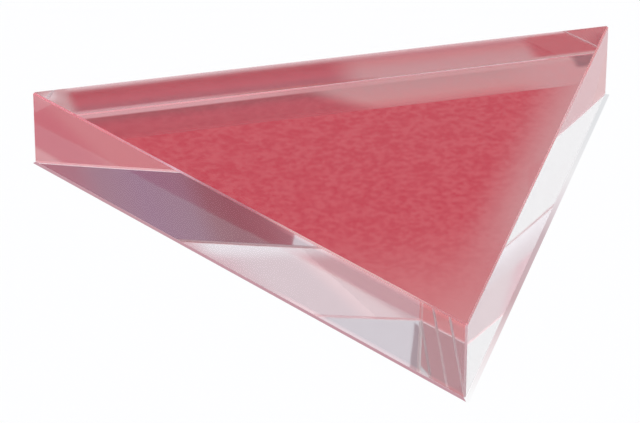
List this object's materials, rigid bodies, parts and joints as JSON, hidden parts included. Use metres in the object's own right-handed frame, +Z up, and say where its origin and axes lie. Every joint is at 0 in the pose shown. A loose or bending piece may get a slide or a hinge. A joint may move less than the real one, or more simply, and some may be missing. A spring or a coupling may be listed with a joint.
{
  "type": "equilateral prism",
  "caption": "Flat triangular optics prism: a clear acrylic block with two triangular faces and three polished side faces square to them, for refracting light beams on a bench.",
  "frame": {"origin": "centre of the bounding box, on the lower triangular face", "axes": "+Z up from one triangular face to the other, +X along the back side face, -Y towards the front corner"},
  "size_m": [0.0746, 0.0646, 0.01],
  "materials": {
    "clear_acrylic": "polished"
  },
  "bodies": {
    "root": {"prism": "clear_acrylic"}
  },
  "joints": []
}
